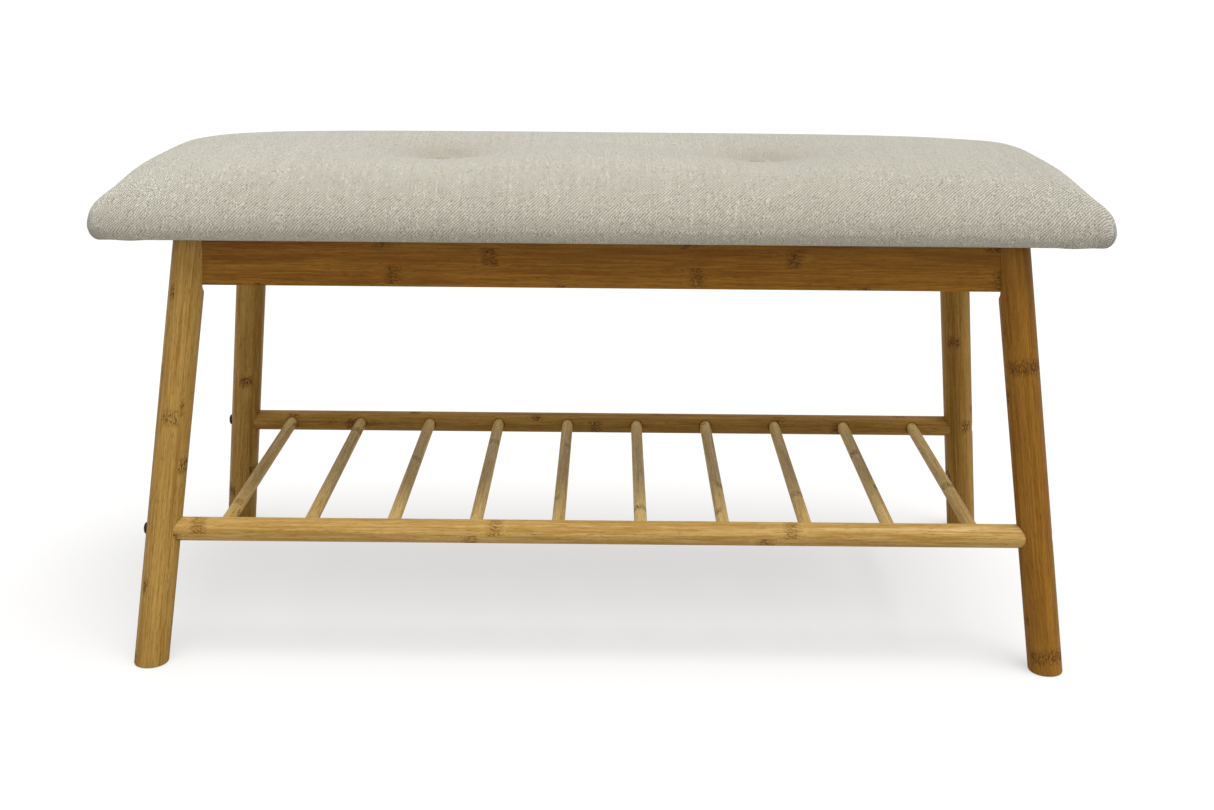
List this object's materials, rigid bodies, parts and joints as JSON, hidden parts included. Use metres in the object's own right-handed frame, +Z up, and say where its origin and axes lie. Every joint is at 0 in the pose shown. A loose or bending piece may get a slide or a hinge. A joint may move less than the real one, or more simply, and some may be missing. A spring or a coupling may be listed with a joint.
{
  "type": "entryway bench",
  "caption": "Low entryway bench with a tufted fabric seat on a splayed round-leg bamboo frame, with an open slatted shelf for shoes.",
  "frame": {"origin": "on the floor, under the middle of the bench", "axes": "+X along the length to the right, -Y towards the front, +Z up"},
  "size_m": [0.9, 0.3982, 0.46],
  "materials": {
    "bamboo": "satin lacquered laminated bamboo, fine long fibres",
    "bamboo_dark": "unfinished sawn bamboo inside the frame",
    "seat_fabric": "warm beige woven upholstery cloth",
    "seat_foam": "open-cell foam",
    "plywood": "raw plywood",
    "lining_cloth": "black spun-bonded lining cloth",
    "twine": "waxed tufting twine",
    "bolt_bronze": "dark bronze coated steel",
    "zinc_steel": "zinc plated steel"
  },
  "bodies": {
    "root": {"seat_cover": "seat_fabric", "seat_foam": "seat_foam", "seat_board": "plywood", "underside_lining": "lining_cloth", "tuft_button_left": "seat_fabric", "tuft_twine_left": "twine", "tuft_washer_left": "zinc_steel", "tuft_button_right": "seat_fabric", "tuft_twine_right": "twine", "tuft_washer_right": "zinc_steel", "apron_front": "bamboo", "apron_rear": "bamboo", "apron_left": "bamboo", "apron_right": "bamboo", "shelf_rail_front": "bamboo", "shelf_rail_rear": "bamboo", "shelf_slat_01": "bamboo", "shelf_slat_02": "bamboo", "shelf_slat_03": "bamboo", "shelf_slat_04": "bamboo", "shelf_slat_05": "bamboo", "shelf_slat_06": "bamboo", "shelf_slat_07": "bamboo", "shelf_slat_08": "bamboo", "shelf_slat_09": "bamboo", "shelf_slat_10": "bamboo", "leg_front_left": "bamboo", "corner_block_front_left": "bamboo_dark", "shelf_bolt_front_left": "bolt_bronze", "barrel_nut_front_left": "zinc_steel", "leg_bolt_front_left": "zinc_steel", "seat_screw_front_left": "zinc_steel", "leg_front_right": "bamboo", "corner_block_front_right": "bamboo_dark", "shelf_bolt_front_right": "bolt_bronze", "barrel_nut_front_right": "zinc_steel", "leg_bolt_front_right": "zinc_steel", "seat_screw_front_right": "zinc_steel", "leg_rear_left": "bamboo", "corner_block_rear_left": "bamboo_dark", "shelf_bolt_rear_left": "bolt_bronze", "barrel_nut_rear_left": "zinc_steel", "leg_bolt_rear_left": "zinc_steel", "seat_screw_rear_left": "zinc_steel", "leg_rear_right": "bamboo", "corner_block_rear_right": "bamboo_dark", "shelf_bolt_rear_right": "bolt_bronze", "barrel_nut_rear_right": "zinc_steel", "leg_bolt_rear_right": "zinc_steel", "seat_screw_rear_right": "zinc_steel"}
  },
  "joints": []
}
